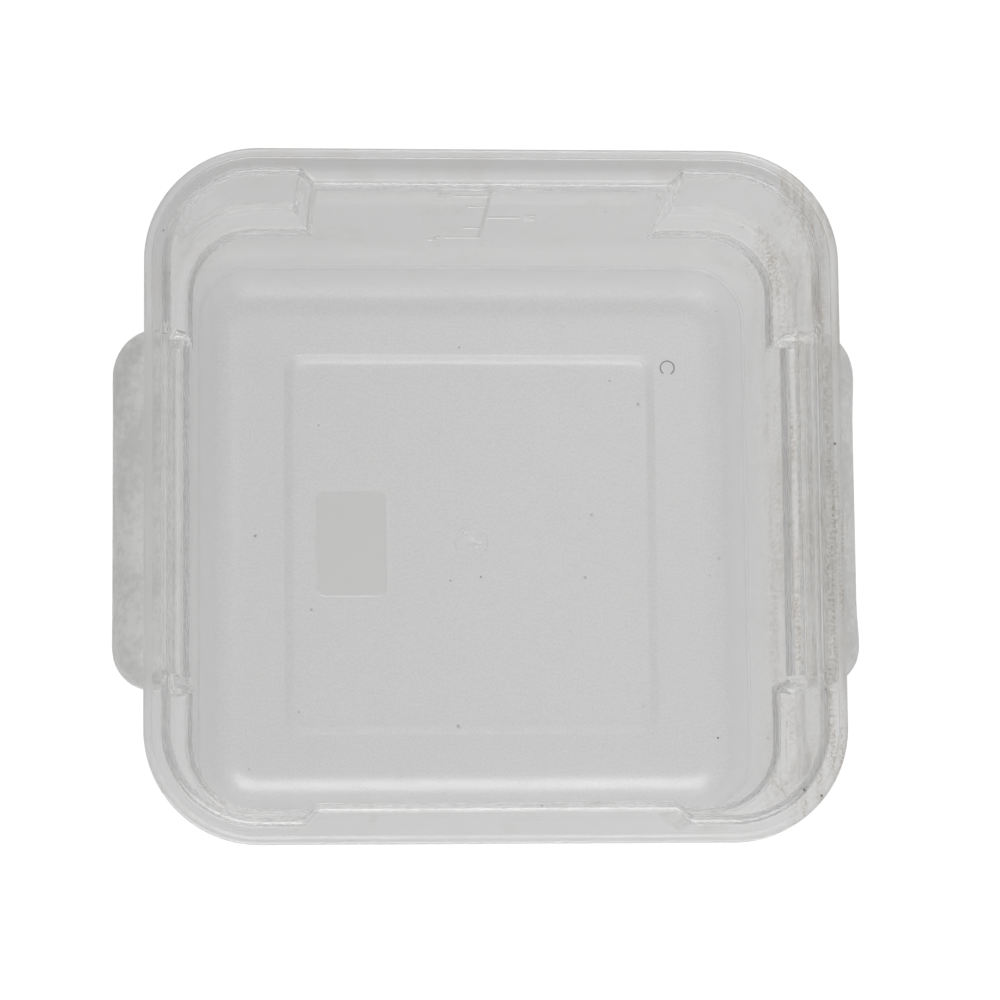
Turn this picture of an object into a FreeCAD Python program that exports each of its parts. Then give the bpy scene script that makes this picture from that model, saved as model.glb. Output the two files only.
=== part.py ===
import FreeCAD, Part
import math
import os
import re

import Sketcher

# Square deli food pan: a clear plastic container with a flat flange round its mouth, pockets
# that widen its corners, a stacking shoulder below them, and a hollow grip on two sides.
# It is one moulding. Each node is a named region of it, and neighbours meet face to face.
# +Z is up, the grips are on +X and -X, the volume scale is on +Y, and the origin is the
# centre of the foot that it stands on. "Inset" is always inwards from the rim's outer edge.

SIZES = [
    ("rim_half", 106.5, "half the width of the rim's outer edge"),
    ("rim_height", 119.0, "height of the rim's top face"),
    ("rim_corner", 35.0, "plan radius of the rim's outer corners"),
    ("wall", 2.8, "wall thickness"),
    ("flange_thick", 3.0, "thickness of the flange"),
    ("skirt_thick", 2.2, "thickness of the lip that hangs from the flange's edge"),
    ("skirt_drop", 6.0, "depth of that lip below the rim's top face"),
    ("mouth_roll", 2.6, "radius of the mouth's inner edge"),
    ("edge_round", 0.9, "radius of the rim's outer edge"),
    ("main_inset", 12.43, "inset of the main wall's inner face, at the rim's height"),
    ("draft", 0.0436, "inwards lean of the main wall for each millimetre down"),
    ("pocket_inset", 8.2, "inset of the corner pockets at the mouth"),
    ("pocket_inset_low", 9.5, "inset of the corner pockets where the shoulder starts"),
    ("pocket_level", 67.0, "height where the pocket wall turns into the shoulder"),
    ("shoulder_level", 59.7, "height where the shoulder meets the main wall"),
    ("panel_half", 55.0, "half the flat panel between the corner pockets, front and back"),
    ("grip_shoulder_inset", 14.0, "inset at the foot of the raised shoulder behind a grip"),
    ("grip_shoulder_level", 85.2, "height of the foot of that raised shoulder"),
    ("grip_shoulder_slope", 0.96, "rise of that shoulder for each millimetre outwards"),
    ("grip_zone_half", 55.0, "half the length of that raised shoulder"),
    ("grip_reach", 10.1, "how far a grip stands out beyond the rim"),
    ("grip_half", 55.5, "half the length of a grip"),
    ("grip_corner", 13.0, "plan radius of a grip's outer corners"),
    ("grip_curve", 16.3, "radius of a grip's rounded top"),
    ("grip_level", 90.0, "height of a grip where it leaves the wall"),
    ("grip_bottom", 69.0, "height of a grip's lower edge"),
    ("grip_root", 20.0, "how far in from the rim a grip's block starts, before the wall is cut out of it"),
    ("base_level", 17.0, "height where the base's radius meets the wall"),
    ("base_radius", 14.0, "inner radius between floor and wall"),
    ("floor_thick", 3.0, "thickness of the floor"),
    ("panel_half_x", 60.0, "half the raised floor panel, left to right"),
    ("panel_half_y", 61.7, "half the raised floor panel, front to back"),
    ("panel_corner", 5.0, "plan radius of the raised panel's corners"),
    ("panel_rise", 1.0, "height of the raised panel above the floor round it"),
    ("panel_slope", 3.6, "width of the raised panel's sloping edge"),
    ("patch_half_x", 11.55, "half the smooth patch on the floor, left to right"),
    ("patch_half_y", 17.45, "half the smooth patch, front to back"),
    ("patch_corner", 3.0, "corner radius of the smooth patch"),
    ("patch_x", -39.55, "middle of the smooth patch"),
    ("patch_y", -0.25, "middle of the smooth patch"),
    ("patch_thick", 0.3, "how far the smooth patch stands up"),
    ("mark_raise", 0.3, "how far the volume scale stands out"),
    ("mark_line", 0.9, "width of the volume scale's lines"),
    ("scale_top", 8.0, "depth of the volume scale's upper end"),
    ("scale_bottom", 64.0, "depth of the volume scale's lower end"),
    ("long_tick", 11.0, "length of the ticks that carry a number"),
    ("short_tick", 6.0, "length of the ticks between them"),
    ("first_tick", 12.0, "depth of the first tick"),
    ("tick_step", 13.0, "distance from one tick to the next"),
    ("spare", 2.0, "how far a cutting shape runs past the solid that it cuts"),
]

TICK_SIDES = (1, 1, -1, 1, 1)   # side of the scale's line that each tick stands on, from the top down
SLANT_SHIFT = 0.41421           # how far a 45 degree corner moves along a face for each millimetre of skin
NEAR = 0.1                      # an edge within this many millimetres of a level lies at it
MAIN_INSET_AT = "main_inset + draft * (rim_height - ({level}))"

document = FreeCAD.newDocument("FoodPan")


# ---- sizes and sketches ----

def make_sheet():
    """The driving dimensions, in millimetres, each under its own name."""
    sheet = document.addObject("Spreadsheet::Sheet", "Sizes")
    for row, (alias, number, meaning) in enumerate(SIZES, start=1):
        sheet.set(f"A{row}", alias)
        sheet.set(f"B{row}", str(number))
        sheet.set(f"C{row}", meaning)
        sheet.setAlias(f"B{row}", alias)
    document.recompute()
    return sheet


def bound(formula):
    """A formula in the sheet's words, as an expression that other objects can hold."""
    return re.sub(r"[a-z_]+", lambda word: "Sizes." + word.group(), formula)


def number(formula):
    return float(document.Sizes.evalExpression(bound(formula)))


def bind(thing, prop, formula):
    thing.setExpression(prop, bound(formula))


def main_inset(level):
    """Inset of the main wall's inner face at a level, as a formula."""
    return MAIN_INSET_AT.format(level=level)


def new_body(name):
    body = document.addObject("PartDesign::Body", name)
    body.Label = name
    return body


def origin_plane(body, role):
    return next(item for item in body.Origin.OriginFeatures if item.Role == role)


def new_sketch(body, name, plane, level):
    sketch = body.newObject("Sketcher::SketchObject", name)
    sketch.AttachmentSupport = [(origin_plane(body, plane), "")]
    sketch.MapMode = "FlatFace"
    bind(sketch, "AttachmentOffset.Base.z", level)
    return sketch


def bind_distance(sketch, kind, line, end, formula):
    """Hold a line's end at a signed distance from the sketch's origin."""
    index = sketch.addConstraint(Sketcher.Constraint(kind, -1, 1, line, end, number(formula)))
    bind(sketch, f"Constraints[{index}]", formula)


def polygon(body, name, plane, level, corners):
    """Closed outline through corners, each a pair of formulas."""
    sketch = new_sketch(body, name, plane, level)
    points = [FreeCAD.Vector(number(x), number(y), 0) for x, y in corners]
    for start, end in zip(points, points[1:] + points[:1]):
        sketch.addGeometry(Part.LineSegment(start, end))
    for line, (x, y) in enumerate(corners):
        following = (line + 1) % len(corners)
        sketch.addConstraint(Sketcher.Constraint("Coincident", line, 2, following, 1))
        bind_distance(sketch, "DistanceX", line, 1, x)
        bind_distance(sketch, "DistanceY", line, 1, y)
    return sketch


def rounded_rectangle(body, name, level, half_x, half_y, corner):
    """Rectangle with rounded corners, centred on the body's origin."""
    sketch = new_sketch(body, name, "XY_Plane", level)
    wide, deep, radius = number(half_x), number(half_y), number(corner)
    middle_x, middle_y = wide - radius, deep - radius
    up = FreeCAD.Vector(0, 0, 1)
    sides = [
        ((wide, -middle_y), (wide, middle_y)),
        ((middle_x, deep), (-middle_x, deep)),
        ((-wide, middle_y), (-wide, -middle_y)),
        ((-middle_x, -deep), (middle_x, -deep)),
    ]
    centres = [(middle_x, middle_y), (-middle_x, middle_y), (-middle_x, -middle_y), (middle_x, -middle_y)]
    for quarter, (side, centre) in enumerate(zip(sides, centres)):
        start, end = [FreeCAD.Vector(x, y, 0) for x, y in side]
        sketch.addGeometry(Part.LineSegment(start, end))
        circle = Part.Circle(FreeCAD.Vector(*centre, 0), up, radius)
        turn = quarter * math.pi / 2
        sketch.addGeometry(Part.ArcOfCircle(circle, turn, turn + math.pi / 2))
    for side in range(4):
        line, arc = 2 * side, 2 * side + 1
        sketch.addConstraint(Sketcher.Constraint("Tangent", line, 2, arc, 1))
        sketch.addConstraint(Sketcher.Constraint("Tangent", arc, 2, (line + 2) % 8, 1))
        sketch.addConstraint(Sketcher.Constraint("Horizontal" if side % 2 else "Vertical", line))
    for arc in (3, 5, 7):
        sketch.addConstraint(Sketcher.Constraint("Equal", 1, arc))
    held = sketch.addConstraint(Sketcher.Constraint("Radius", 1, radius))
    bind(sketch, f"Constraints[{held}]", corner)
    bind_distance(sketch, "DistanceX", 0, 1, half_x)
    bind_distance(sketch, "DistanceY", 2, 1, half_y)
    bind_distance(sketch, "DistanceX", 4, 1, f"-({half_x})")
    bind_distance(sketch, "DistanceY", 6, 1, f"-({half_y})")
    return sketch


def ring_section(body, name, level, inset):
    """Rounded square that lies inset from the rim's outer edge, with concentric corners."""
    half = f"rim_half - ({inset})"
    return rounded_rectangle(body, name, level, half, half, f"rim_corner - ({inset})")


# ---- features ----

def loft(body, kind, name, sections):
    feature = body.newObject("PartDesign::" + kind, name)
    feature.Profile = sections[0]
    feature.Sections = sections[1:]
    feature.Ruled = True
    return feature


def extrude(body, kind, name, sketch, length, midplane=False, backwards=False):
    feature = body.newObject("PartDesign::" + kind, name)
    feature.Profile = sketch
    feature.Midplane = midplane
    feature.Reversed = backwards
    bind(feature, "Length", length)
    return feature


def mirror(body, name, feature, plane):
    copy = body.newObject("PartDesign::Mirrored", name)
    copy.MirrorPlane = (origin_plane(body, plane), [""])
    copy.Originals = [feature]
    body.Tip = copy
    return copy


def level_edges(shape, level, least, most):
    """Numbers of the edges that lie at a level and reach between two distances from the middle."""
    found = []
    for index, edge in enumerate(shape.Edges, start=1):
        box = edge.BoundBox
        flat = abs(box.ZMin - level) < NEAR and abs(box.ZMax - level) < NEAR
        reach = max(-box.XMin, box.XMax, -box.YMin, box.YMax)
        if flat and least < reach < most:
            found.append(index)
    return found


def boolean(kind, name, base, tool):
    result = document.addObject("Part::" + kind, name)
    result.Label = name
    result.Base = base
    result.Tool = tool
    return result


# ---- the filled forms that the moulding lies between ----

def add_pockets(body, skin, top):
    """The widened upper part with its shoulder, before the panels and grips are cut in."""
    sections = [
        ring_section(body, "pocket_top", top, f"pocket_inset - {skin}"),
        ring_section(body, "pocket_low", "pocket_level", f"pocket_inset_low - {skin}"),
        ring_section(body, "pocket_foot", "shoulder_level", f"{main_inset('shoulder_level')} - {skin}"),
    ]
    loft(body, "AdditiveLoft", "pockets", sections)


def cut_panels(body, skin):
    """Clear the pockets away in front of the flat panels, front and back, up to 45 degree ends."""
    sections = []
    for name, level in (("panel_low", "shoulder_level - spare"), ("panel_high", "rim_height + spare")):
        face = f"({main_inset(level)} - {skin})"
        face_half = f"(panel_half - {SLANT_SHIFT} * {skin})"
        inboard_x, inboard_y = f"{face_half} - spare / 2", f"rim_half - {face} - spare / 2"
        outboard_x, outboard_y = f"{face_half} + {face} + spare", "rim_half + spare"
        corners = [
            (f"-({outboard_x})", f"-({outboard_y})"),
            (outboard_x, f"-({outboard_y})"),
            (inboard_x, f"-({inboard_y})"),
            (f"-({inboard_x})", f"-({inboard_y})"),
        ]
        sections.append(polygon(body, name, "XY_Plane", level, corners))
    front = loft(body, "SubtractiveLoft", "front_panel", sections)
    mirror(body, "back_panel", front, "XZ_Plane")


def cut_grip_zones(body, skin):
    """Raise the shoulder behind each grip."""
    foot = f"(rim_half - grip_shoulder_inset + {skin})"
    inboard = f"{foot} - spare"
    outboard = "rim_half + spare"
    low = "shoulder_level - spare"
    corners = [(inboard, low), (outboard, low)]
    for reach in (outboard, inboard):
        corners.append((reach, f"grip_shoulder_level + grip_shoulder_slope * ({reach} - {foot})"))
    outline = polygon(body, "grip_zone_outline", "XZ_Plane", "0", corners)
    length = f"2 * (grip_zone_half - {skin})"
    right = extrude(body, "Pocket", "right_grip_zone", outline, length, midplane=True)
    mirror(body, "left_grip_zone", right, "YZ_Plane")


def add_main(body, skin, bottom, top):
    """The tapered middle of the pan, with its large bottom radius."""
    sections = [
        ring_section(body, "main_bottom", bottom, f"{main_inset(bottom)} - {skin}"),
        ring_section(body, "main_top", top, f"{main_inset(top)} - {skin}"),
    ]
    main = loft(body, "AdditiveLoft", "main", sections)
    document.recompute()
    fillet = body.newObject("PartDesign::Fillet", "bottom_radius")
    edges = level_edges(main.Shape, number(bottom), 0, number("rim_half"))
    fillet.Base = (main, [f"Edge{index}" for index in edges])
    bind(fillet, "Radius", f"base_radius + {skin}")


def cut_floor_panel(body, bottom):
    """Push the middle of the bottom up, with a sloping edge."""
    sections = []
    steps = [("step_low", "0", "panel_slope / 2"), ("step_high", "panel_rise", "-panel_slope / 2")]
    for name, rise, grow in steps:
        half_x, half_y = f"panel_half_x + {grow}", f"panel_half_y + {grow}"
        level = f"{bottom} + {rise}"
        sections.append(rounded_rectangle(body, name, level, half_x, half_y, f"panel_corner + {grow}"))
    loft(body, "SubtractiveLoft", "floor_panel", sections)


def filled_form(name, skin, bottom, top):
    """The pan filled solid: the cavity with no skin, or the outside with the wall as skin."""
    body = new_body(name)
    add_pockets(body, skin, top)
    cut_panels(body, skin)
    cut_grip_zones(body, skin)
    add_main(body, skin, bottom, top)
    cut_floor_panel(body, bottom)
    return body


# ---- the regions of the moulding ----

def slice_region(name, shell, low, high):
    """The part of the shell between two levels."""
    slab = document.addObject("Part::Box", name + "_slab")
    for prop in ("Length", "Width"):
        bind(slab, prop, "2 * (rim_half + spare)")
    bind(slab, "Height", f"{high} - ({low})")
    bind(slab, "Placement.Base.x", "-rim_half - spare")
    bind(slab, "Placement.Base.y", "-rim_half - spare")
    bind(slab, "Placement.Base.z", low)
    return boolean("Common", name, shell, slab)


def make_rim(cavity):
    """Flange with a hanging lip, its opening cut to the cavity's outline and its edges rounded."""
    body = new_body("rim_block")
    bottom = "rim_height - skirt_drop"
    outline = ring_section(body, "rim_outline", bottom, "0")
    block = extrude(body, "Pad", "rim_plate", outline, "skirt_drop")
    hollow = ring_section(body, "lip_outline", bottom, "skirt_thick")
    under = extrude(body, "Pocket", "lip", hollow, "skirt_drop - flange_thick", backwards=True)
    document.recompute()
    if under.Shape.Volume >= block.Shape.Volume:
        raise RuntimeError("the underside of the rim was not cut")
    opened = boolean("Cut", "opened_rim", body, cavity)
    document.recompute()
    rim = document.addObject("Part::Fillet", "rim")
    rim.Label = "rim"
    rim.Base = opened
    outline_reach = number("rim_half") - NEAR
    beyond = number("rim_half + spare")
    rounds = [(number("rim_height"), 0, outline_reach, number("mouth_roll"))]
    for level in ("rim_height", bottom):
        rounds.append((number(level), outline_reach, beyond, number("edge_round")))
    edges = []
    for level, least, most, radius in rounds:
        edges += [(index, radius, radius) for index in level_edges(opened.Shape, level, least, most)]
    rim.Edges = edges
    return rim


def grip_section(name, skin, bottom):
    """A grip's section, square inboard and rounded over outboard, drawn out to the grip's length."""
    body = new_body(name)
    sketch = new_sketch(body, "section_outline", "XZ_Plane", "0")
    inboard, outboard = "rim_half - grip_root", f"rim_half + grip_reach - {skin}"
    top, radius = f"grip_level - {skin}", f"grip_curve - {skin}"
    spring = f"{top} - ({radius})"
    near, far, low, high = number(inboard), number(outboard), number(bottom), number(top)
    curve = number(radius)
    corners = [(far - curve, high), (near, high), (near, low), (far, low), (far, number(spring))]
    points = [FreeCAD.Vector(x, z, 0) for x, z in corners]
    for start, end in zip(points, points[1:]):
        sketch.addGeometry(Part.LineSegment(start, end))
    centre = FreeCAD.Vector(far - curve, high - curve, 0)
    circle = Part.Circle(centre, FreeCAD.Vector(0, 0, 1), curve)
    arc = sketch.addGeometry(Part.ArcOfCircle(circle, 0, math.pi / 2))
    for line in range(3):
        sketch.addConstraint(Sketcher.Constraint("Coincident", line, 2, line + 1, 1))
    for line, way in enumerate(("Horizontal", "Vertical", "Horizontal", "Vertical")):
        sketch.addConstraint(Sketcher.Constraint(way, line))
    sketch.addConstraint(Sketcher.Constraint("Tangent", 3, 2, arc, 1))
    sketch.addConstraint(Sketcher.Constraint("Tangent", arc, 2, 0, 1))
    for kind, line, end, formula in (("DistanceX", 1, 1, inboard), ("DistanceY", 1, 1, top),
                                     ("DistanceX", 3, 1, outboard), ("DistanceY", 3, 1, bottom),
                                     ("DistanceY", 3, 2, spring)):
        bind_distance(sketch, kind, line, end, formula)
    extrude(body, "Pad", "section_pad", sketch, f"2 * (grip_half - {skin})", midplane=True)
    return body


def grip_solid(name, skin, bottom):
    """A grip's section and its rounded plan together, inset from the grip's outside by a skin."""
    section = grip_section(name + "_section", skin, bottom)
    plan = new_body(name + "_plan")
    outline = rounded_rectangle(plan, "plan_outline", bottom, f"rim_half + grip_reach - {skin}",
                                f"grip_half - {skin}", f"grip_corner - {skin}")
    extrude(plan, "Pad", "plan_pad", outline, "rim_height")
    return boolean("Common", name, section, plan)


def make_grips(outside):
    """Hollow grips, open below, that spring from the wall on both sides."""
    outer = grip_solid("grip_outer", "0", "grip_bottom")
    hollow = grip_solid("grip_hollow", "wall", "grip_bottom - spare")
    shell = boolean("Cut", "grip_shell", outer, hollow)
    right = boolean("Cut", "right_grip", shell, outside)
    left = document.addObject("Part::Mirroring", "left_grip")
    left.Label = "left_grip"
    left.Source = right
    left.Normal = FreeCAD.Vector(1, 0, 0)
    return [left, right]


def make_floor_patch():
    """Smooth rounded patch that stands a little above the grained floor panel."""
    body = new_body("floor_patch")
    outline = rounded_rectangle(body, "patch_outline", "0", "patch_half_x", "patch_half_y", "patch_corner")
    extrude(body, "Pad", "patch", outline, "patch_thick")
    bind(body, "Placement.Base.x", "patch_x")
    bind(body, "Placement.Base.y", "patch_y")
    bind(body, "Placement.Base.z", "floor_thick + panel_rise")
    return body


def make_volume_scale():
    """Raised line with ticks, every other one long, on the outside of the back panel."""
    body = new_body("volume_scale")
    half_line = "mark_line / 2"
    bars = [(f"-{half_line}", "-scale_bottom", half_line, "-scale_top")]
    for tick, side in enumerate(TICK_SIDES):
        length = "short_tick" if tick % 2 else "long_tick"
        depth = f"(first_tick + {tick} * tick_step)"
        bars.append(("0", f"-{depth} - {half_line}", f"{side} * {length}", f"-{depth} + {half_line}"))
    for bar, (start, low, end, high) in enumerate(bars):
        corners = [(start, low), (end, low), (end, high), (start, high)]
        outline = polygon(body, f"bar_outline_{bar}", "XY_Plane", "0", corners)
        extrude(body, "Pad", f"bar_{bar}", outline, "mark_raise")
    lean = math.atan(number("draft"))
    across = FreeCAD.Vector(-1, 0, 0)
    upwards = FreeCAD.Vector(0, math.sin(lean), math.cos(lean))
    face = FreeCAD.Vector(0, number("rim_half - main_inset + wall"), number("rim_height"))
    turn = FreeCAD.Rotation(across, upwards, across.cross(upwards), "XYZ")
    body.Placement = FreeCAD.Placement(face, turn)
    return body


def check(nodes):
    """Stop if any object failed, or if a node is not one or more valid solids."""
    for item in document.Objects:
        if "Invalid" in item.State or "Error" in item.State:
            raise RuntimeError(f"{item.Name} failed: {item.State}")
    for node in nodes:
        shape = node.Shape
        if shape.isNull() or not shape.isValid() or not shape.Solids:
            raise RuntimeError(f"{node.Label} has no valid solid")


def main():
    make_sheet()
    flange_underside = "rim_height - flange_thick"
    cavity = filled_form("cavity", "0", "floor_thick", "rim_height + spare")
    outside = filled_form("outside", "wall", "0", flange_underside)
    shell = boolean("Cut", "moulding", outside, cavity)
    nodes = [
        slice_region("base", shell, "0", "base_level"),
        slice_region("lower_wall", shell, "base_level", "shoulder_level"),
        slice_region("upper_wall", shell, "shoulder_level", flange_underside),
        make_rim(cavity),
        make_floor_patch(),
        make_volume_scale(),
    ]
    nodes += make_grips(outside)
    document.recompute()
    check(nodes)
    os.makedirs("parts", exist_ok=True)
    for node in nodes:
        node.Shape.exportStep(f"parts/{node.Label}.step")
        print(f"{node.Label}: {len(node.Shape.Solids)} solid, {node.Shape.Volume:.0f} cubic mm")


main()
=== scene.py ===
import math

import bpy
import numpy as np
from mathutils import Matrix, Vector


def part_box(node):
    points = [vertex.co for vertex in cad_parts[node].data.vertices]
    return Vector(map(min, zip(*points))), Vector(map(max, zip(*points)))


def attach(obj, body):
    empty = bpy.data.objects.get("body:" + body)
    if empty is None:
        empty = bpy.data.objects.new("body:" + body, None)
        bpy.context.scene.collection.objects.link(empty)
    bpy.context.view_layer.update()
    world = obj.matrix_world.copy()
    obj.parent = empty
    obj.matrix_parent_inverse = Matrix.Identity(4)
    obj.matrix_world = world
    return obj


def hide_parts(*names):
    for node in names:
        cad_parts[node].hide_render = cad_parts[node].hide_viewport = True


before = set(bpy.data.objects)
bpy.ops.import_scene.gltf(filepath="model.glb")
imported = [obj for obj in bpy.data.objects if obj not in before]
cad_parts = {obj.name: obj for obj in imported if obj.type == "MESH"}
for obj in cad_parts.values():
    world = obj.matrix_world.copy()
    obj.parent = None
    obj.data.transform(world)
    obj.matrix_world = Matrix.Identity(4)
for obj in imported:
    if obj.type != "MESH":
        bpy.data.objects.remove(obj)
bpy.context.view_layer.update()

# Everything below is in millimetres until a mesh is made. "Inset" is inwards from the rim's outer edge,
# and "depth" is downwards from the rim's top face.
MM = 0.001
RIM_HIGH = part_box("rim")[1] / MM
HALF = RIM_HIGH.x
HEIGHT = RIM_HIGH.z
RIM_CORNER = 35.0
WALL = 2.8

# the rim
EDGE_ROUND = 0.9
FLANGE_THICK = 3.0
SKIRT_THICK = 2.2
SKIRT_DROP = 6.0
SMALL_ROUND = 0.45
ROLL = 2.75
ROLL_GROWTH = 0.15

# the wall
MAIN_INSET = 12.43
DRAFT = 0.0436
POCKET_INSET = 8.2
POCKET_DRAFT = 0.025
SHOULDER_DEPTH = 52.0
SHOULDER_SLOPE = 0.753
PANEL_HALF = 54.3
GRIP_SHOULDER_DEPTH = 28.9
GRIP_SHOULDER_SLOPE = 1.04
GRIP_ZONE_HALF = 54.6
GRIP_ZONE_END_SLOPE = 3.0
SOFT_DEPTH = 1.1
SOFT_ALONG = 0.9
SOFT_SAMPLES = 7

# the base
BASE_LEVEL = 17.0
BASE_RADIUS = 14.0
FLOOR_THICK = 3.0
PANEL_X = 60.0
PANEL_Y = 61.7
PANEL_CORNER = 5.0
PANEL_RISE = 1.0
PANEL_SLOPE = 3.6
PANEL_SOFT = 0.35
GATE_RADIUS = 5.35
GATE_REACH = 1.12
# share of the gate mark's radius, and how far the floor stands up there
GATE_MARKS = [
    (GATE_REACH, 0.0),
    (1.09, 0.0),
    (1.06, 0.0),
    (1.02, -0.3),
    (0.97, -0.3),
    (0.93, 0.0),
    (0.90, 0.0),
    (0.60, 0.0),
    (0.36, 0.0),
    (0.32, 0.02),
    (0.22, 0.2),
    (0.10, 0.28),
]
GATE_PIP = 0.3
UNDERSIDE_MARKS = [(1.06, 0.0), (0.5, 0.0)]

# small features on the moulding
PATCH_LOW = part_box("floor_patch")[0] / MM
PATCH_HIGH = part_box("floor_patch")[1] / MM
PATCH_CORNER = 3.0
PATCH_EDGE = 0.25
PATCH_BORDER = 1.0
SUNK = 0.3
SCALE_TOP = 8.0
SCALE_BOTTOM = 64.0
SCALE_LINE = 1.1
SCALE_RAISE = 0.3
FIRST_TICK = 12.0
TICK_STEP = 13.0
LONG_TICK = 11.0
SHORT_TICK = 6.0
TICK_SIDES = (1, 1, -1, 1, 1)
DIGIT_GAP = 1.6
DIGIT_CELL = 1.15
# filled cells of plain digits, row by row from the top
DIGITS = {
    "1": ("010", "110", "010", "010", "111"),
    "2": ("111", "001", "111", "100", "111"),
    "3": ("111", "001", "111", "001", "111"),
}
DIGIT_COLUMNS = 3
# the ticks that digits stand beside, counted from the top
DIGITS_AT = ((0, "3"), (2, "2"), (4, "1"))
RING_MARK = (66.0, 59.0)
RING_MARK_RADIUS = 2.3
RING_MARK_ANGLES = (-60, 235)
RING_MARK_POINTS = 41
RIDGE_WIDTH = 0.42
RIDGE_RISE = 0.2
RIDGE_ROUND = 0.7
STREAK_WIDTH = 0.75
STREAK_RISE = 0.3
# ends of the streaks that the gate left in the floor
STREAKS = [((0.4, 0.5), (4.9, -0.4)), ((1.2, -1.1), (4.5, -1.9)), ((-2.6, 3.4), (-0.9, 2.9))]
STREAK_POINTS = 7

# the grips
GRIP_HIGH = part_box("right_grip")[1] / MM
GRIP_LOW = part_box("right_grip")[0] / MM
GRIP_CORNER = 13.0
GRIP_CURVE = 16.3
GRIP_END_ROUND = 3.0
GRIP_CORNER_SHARE = 0.97
GRIP_BLEND = 14.0
GRIP_KNEE = GRIP_SHOULDER_DEPTH + 6
GRIP_CLEAR = 0.5
GRIP_LIP = 0.7
HOLLOW_ROOT = 88.0
HOLLOW_END_ROUND = 1.2
HOLLOW_PAST = 2.0

# rows and columns of the meshes. A run is where it ends and how many steps it takes.
PANEL_COLUMNS = ((PANEL_HALF - 2, 9), (PANEL_HALF + 7, 22), (HALF - RIM_CORNER, 3))
GRIP_COLUMNS = ((GRIP_ZONE_HALF - 2, 9), (GRIP_ZONE_HALF + 4, 16), (HALF - RIM_CORNER, 4))
CORNER_STEPS = 32
WALL_ROWS = ((26, 6), (36, 20), (50, 3), (SHOULDER_DEPTH + 10, 20))
WALL_FIRST_ROW = 5.0
LOWER_WALL_STEPS = 9
BASE_STEPS = 14
ROLL_STEPS = 9
EDGE_STEPS = 5
SMALL_STEPS = 3
PANEL_STEPS = 8
GRIP_CORNER_STEPS = 14
GRIP_TOP_STEPS = 10
GRIP_LIP_STEPS = 4
GRIP_ROOT_SHARES = (0.0, 0.5)
GRIP_BLEND_SHARES = (0.15, 0.3, 0.5, 0.75, 1.0)
GRIP_FRONT_SHARES = (0.66, 0.33, 0.0)
FLOOR_SHARES = (0.33, 0.66, 1.0)
CENTRE_SHARES = (0.03, 0.2, 0.4, 0.6, 0.8, 0.96)
FLANGE_SHARES = (0.25, 0.75)

# plastic colours: each surface that light crosses tints it by the square root of these
CLEAR_COLOUR = (0.97, 0.97, 0.967)
GRAIN_COLOUR = (0.86, 0.86, 0.857)
# painted shade: this colour darkens the flange towards the back
FLANGE_SHADE_COLOUR = (0.79, 0.79, 0.787)
WORN_COLOUR = (0.74, 0.71, 0.66)
DIRT_COLOUR = (0.60, 0.54, 0.47)
SPECK_COLOUR = (0.03, 0.025, 0.02)
FROSTED_COLOUR = (0.95, 0.95, 0.94)
FROSTED_DARK = (0.74, 0.74, 0.73)
SMOOTH_COLOUR = (0.87, 0.87, 0.86)
EMBOSSED_COLOUR = (0.68, 0.68, 0.67)
SCUFFED_COLOUR = (0.12, 0.12, 0.12)
PASS_TINT = (0.97, 0.97, 0.97, 1)
IOR = 1.585
POLISHED_ROUGH = (0.01, 0.05)
FLOOR_ROUGH = (0.37, 0.45)
RADIUS_ROUGH = 0.29
EDGE_ROUGH = 0.4
FROSTED_ROUGH = (0.28, 0.45)
FROSTED_TRANSMISSION = 0.92

# where the clear plastic changes, in metres: heights, distances from the rim's corner middles, and places
FLOOR_STARTS = (0.0022, 0.0028)
FLOOR_ENDS = (0.0055, 0.009)
RADIUS_ENDS = (0.0135, 0.0175)
WALL_STARTS = (0.02, 0.05)
DIRT_STARTS = (0.035, 0.06)
DIRT_SIDE = (0.0875, 0.0895)
FLANGE_STARTS = (0.115, 0.1158)
FLANGE_BAND = (0.026, 0.030)
EDGE_BAND = (0.0318, 0.0326)
# painted shade on the flange grows over this span from front to back
SHADE_TOWARDS_BACK = (-0.1, 0.1)

# patterns: each noise's scale, detail and roughness, and the part of its range that shows
SCUFF_NOISE = (60.0, 6.0, 0.6)
SCUFF_RANGE = (0.35, 0.75)
GRAIN_NOISE = (950.0, 1.0, 0.5)
GRAIN_DEPTH = 0.00005
PEBBLE_NOISE = (1300.0, 1.0, 0.5)
PEBBLE_RANGE = (0.35, 0.65)
STREAK_NOISE = (1.0, 5.0, 0.65)
STREAK_STRETCH = (420.0, 26.0, 60.0)
STREAK_RANGE = (0.44, 0.60)
CRUMB_NOISE = (1100.0, 2.0, 0.6)
CRUMB_STRETCH = (1.0, 1.0, 0.2)
CRUMB_RANGE = (0.46, 0.56)
SMUDGE_NOISE = (42.0, 7.0, 0.68)
SMUDGE_RANGE = (0.54, 0.8)
SMUDGE_MOST = 0.7
SPECK_SCALE = 85.0
SPECK_RANGE = (0.027, 0.038)
FROST_NOISE = (430.0, 3.0, 0.65)
FROST_DEPTH = 0.0003
FROST_STRENGTH = 0.9
HAND_NOISE = (60.0, 5.0, 0.6)
HAND_RANGE = (0.3, 0.7)
MOTTLE_RANGE = (0.18, 0.32)
WEAR_DETAIL = (5.0, 0.6)
# how fine the scuffs are on the small features, and the roughness that they give
SMOOTH_WEAR = (90.0, (0.02, 0.06))
EMBOSSED_WEAR = (300.0, (0.1, 0.3))
SCUFFED_WEAR = (700.0, (0.3, 0.6))
WHOLE = (0.0, 1.0)
NONE = (1.0, 0.0)

# places of the other materials on the mesh, after the clear plastic
FROSTED, SMOOTH, EMBOSSED, SCUFFED = range(1, 5)
SHARP_ANGLE = 40.0
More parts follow.
